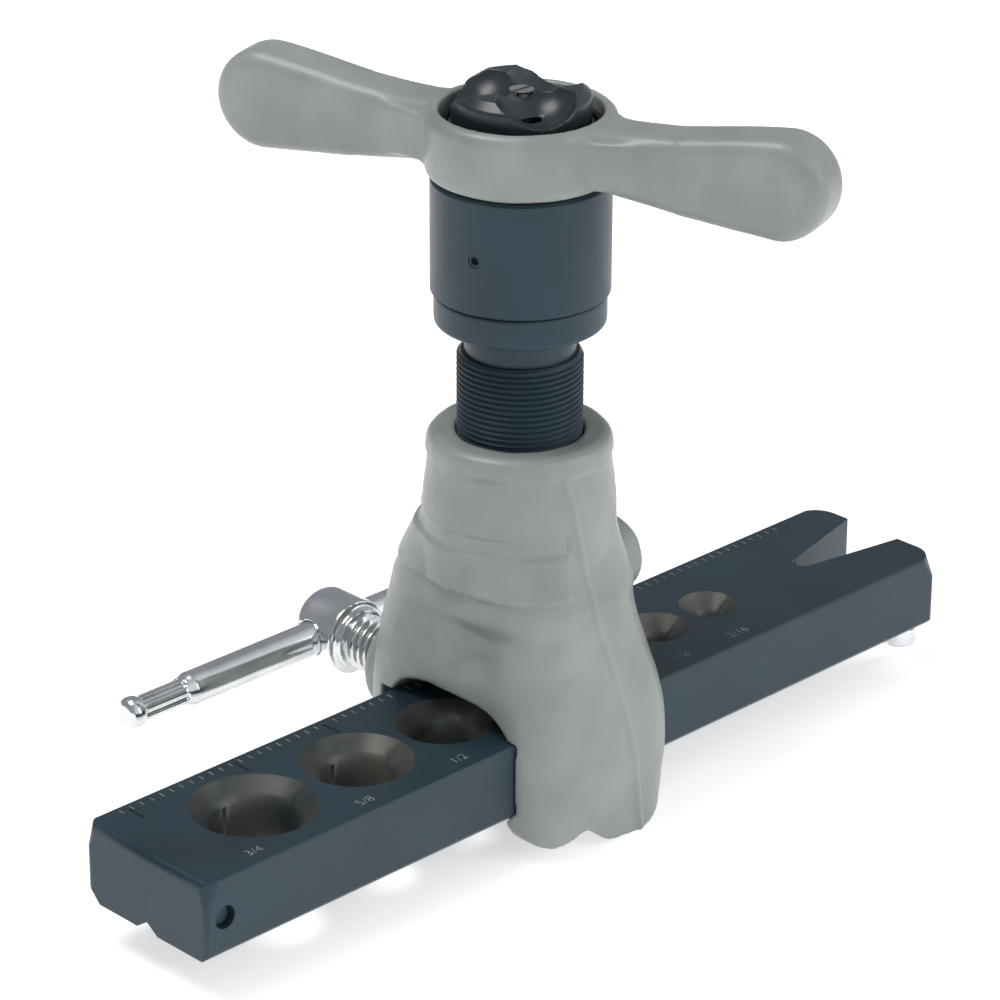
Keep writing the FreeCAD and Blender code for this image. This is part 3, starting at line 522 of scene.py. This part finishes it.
def make_collar():
    """Collar and cam, the ends of its cross pin dressed flush and out of sight."""
    bm = bmesh.new()
    bm.from_mesh(NODES["clutch_cam"].data)
    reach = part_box("clutch_cam")[1][0] - 0.05 * MM
    plug_z = sum(corner[2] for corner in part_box("cam_pin")) / 2
    plug_r = (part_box("cam_pin")[1][2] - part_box("cam_pin")[0][2]) / 2 + 0.1 * MM
    plug_length = 5.0 * MM
    turn = Matrix.Rotation(math.radians(90), 4, "Y")
    for side in (-1, 1):
        middle = Matrix.Translation((side * (reach - plug_length / 2), 0, plug_z))
        bmesh.ops.create_cone(bm, cap_ends=True, segments=32, radius1=plug_r, radius2=plug_r,
                              depth=plug_length, matrix=middle @ turn)
    piece = new_piece("clutch_collar", mesh_from("clutch_collar", bm), "clutch_cam", "black_oxide")
    remesh(piece, 0.3)
    smooth(piece, 3)
    one_material(piece, "black_oxide")
    shade(piece, 50)
    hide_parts("clutch_cam")


def make_clamp_screw():
    """Round head with its bar hole, softened, on a stem cut down to its thread's core, and the thread."""
    piece = new_piece("clamp_screw_head", NODES["clamp_screw"].data.copy(), "clamp_screw", "zinc")
    remesh(piece, 0.35)
    core = CLAMP_R - CLAMP_DEPTH - 0.1
    for vertex in piece.data.vertices:
        x, y, z = [c / MM for c in vertex.co]
        off = math.hypot(x, z - CLAMP_Z)
        if STEM_LOW - 0.2 < y < STEM_HIGH - 0.6 and off > core:
            vertex.co.x *= core / off
            vertex.co.z = (CLAMP_Z + (z - CLAMP_Z) * core / off) * MM
    smooth(piece, 5)
    one_material(piece, "zinc")
    shade(piece, 45)
    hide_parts("clamp_screw")

    bm = bmesh.new()
    thread_strip(bm, STEM_LOW, STEM_HIGH, CLAMP_R, CLAMP_DEPTH, CLAMP_PITCH, 96)
    for height in (STEM_LOW, STEM_HIGH):
        bmesh.ops.holes_fill(bm, edges=rim_at(bm, height))
    turn = Matrix.Translation((0, 0, CLAMP_Z * MM)) @ Matrix.Rotation(math.radians(-90), 4, "X")
    bm.transform(turn)
    thread = new_piece("clamp_screw_thread", mesh_from("clamp_screw_thread", bm), "clamp_screw", "zinc")
    shade(thread, 40)


# ---------------------------------------------------------------- die bar
def tube_bores():
    """Name, place along the bar and radius of every tube bore, in millimetres."""
    rows = []
    for mount in frame["record"]["mounts"]:
        if mount["name"].startswith("tube_bore_"):
            label = mount["name"][len("tube_bore_"):].replace("_", "/")
            rows.append((label, mount["pos_m"][0] / MM, mount["dims"]["r_mm"]))
    return rows


def number_mesh(bm, text, x, y, height, top, depth):
    """Engraved size number, its strokes as closed prisms let into the bar's top."""
    curve = bpy.data.curves.new("number", "FONT")
    curve.body = text
    curve.size = height * MM
    curve.extrude = depth * MM
    curve.resolution_u = 3
    curve.align_x = "CENTER"
    curve.align_y = "CENTER"
    writer = bpy.data.objects.new("number", curve)
    bpy.context.scene.collection.objects.link(writer)
    bpy.context.view_layer.update()
    mesh = bpy.data.meshes.new_from_object(writer.evaluated_get(bpy.context.evaluated_depsgraph_get()))
    bpy.data.objects.remove(writer)
    mesh.transform(Matrix.Translation((x * MM, y * MM, top * MM)))
    bm.from_mesh(mesh)
    bpy.data.meshes.remove(mesh)


def engraved(piece, bm):
    """Cut the shapes of a bmesh out of a piece, in the engraved-mark material: its lighter colour is partly a
    pale fill and partly painted highlight on the cut walls.
    """
    mesh = mesh_from("cutter", bm)
    mesh.materials.append(ENGRAVED_FILL_AND_SHEEN)
    cutter = bpy.data.objects.new("cutter", mesh)
    bpy.context.scene.collection.objects.link(cutter)
    modifier = piece.modifiers.new("engrave", "BOOLEAN")
    modifier.operation = "DIFFERENCE"
    modifier.solver = "EXACT"
    modifier.material_mode = "TRANSFER"
    modifier.object = cutter
    settle(piece)
    bpy.data.objects.remove(cutter)


def colour_bores(piece):
    """The walls of the bores and their countersinks are bare steel, not oxide."""
    piece.data.materials.append(BORE_STEEL)
    index = len(piece.data.materials) - 1
    bores = tube_bores()
    for face in piece.data.polygons:
        if abs(face.normal.z) < 0.9 and face.material_index == 0:
            x, y, _z = [c / MM for c in face.center]
            for _label, place, radius in bores:
                distance = math.hypot(x - place, y)
                facing = face.normal.x * (x - place) + face.normal.y * y
                if distance < radius + COUNTERSINK_REACH and facing < -0.5 * distance:
                    face.material_index = index


def make_bar_half(side, node, name):
    """One bar half: the front one has the size numbers let into its top, the rear one a fine scale."""
    piece = new_piece(name, NODES[node].data.copy(), node, "black_oxide")
    (low, _y, _z), (high, _y, top) = [[c / MM for c in corner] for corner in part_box(node)]
    bores = tube_bores()
    bm = bmesh.new()
    if side < 0:
        for label, x, radius in bores:
            number_mesh(bm, label, x - radius - NUMBER_GAP, NUMBER_Y, NUMBER_HEIGHT, top, NUMBER_DEPTH)
    else:
        count = int((high - low - 20) / SCALE_STEP)
        for i in range(count):
            x = low + SCALE_START + SCALE_STEP * i
            # the CAD half has an index mark there already
            if min(abs(x - (place - TICK_SETBACK)) for _label, place, _radius in bores) > 0.9:
                block(bm, x - SCALE_HALF_WIDTH, x + SCALE_HALF_WIDTH, *SCALE_Y, top - SCALE_DEPTH, top + 0.3)
    engraved(piece, bm)
    colour_bores(piece)
    shade(piece, 30)
    # flat faces stay flat-shaded, so that the cuts in them leave no smudges
    for face in piece.data.polygons:
        if max(abs(c) for c in face.normal) > 0.9999:
            face.use_smooth = False
    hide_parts(node)


make_camera()
make_floor(cad_box[0][2])
make_light()
finish_cad_nodes()
make_bar_half(-1, "bar_half_front", "bar_half_front_marked")
make_bar_half(1, "bar_half_rear", "bar_half_rear_marked")
make_yoke()
make_handle()
make_feed_screw()
make_collar()
make_clamp_screw()
make_softened("t_bar_swaged", "t_bar", "zinc", 0.3, 4)
make_softened("selector_knob_moulded", "selector_knob", "knob_black", 0.3, 6)
make_softened("stop_screw_turned", "stop_screw", "zinc", 0.2, 3)
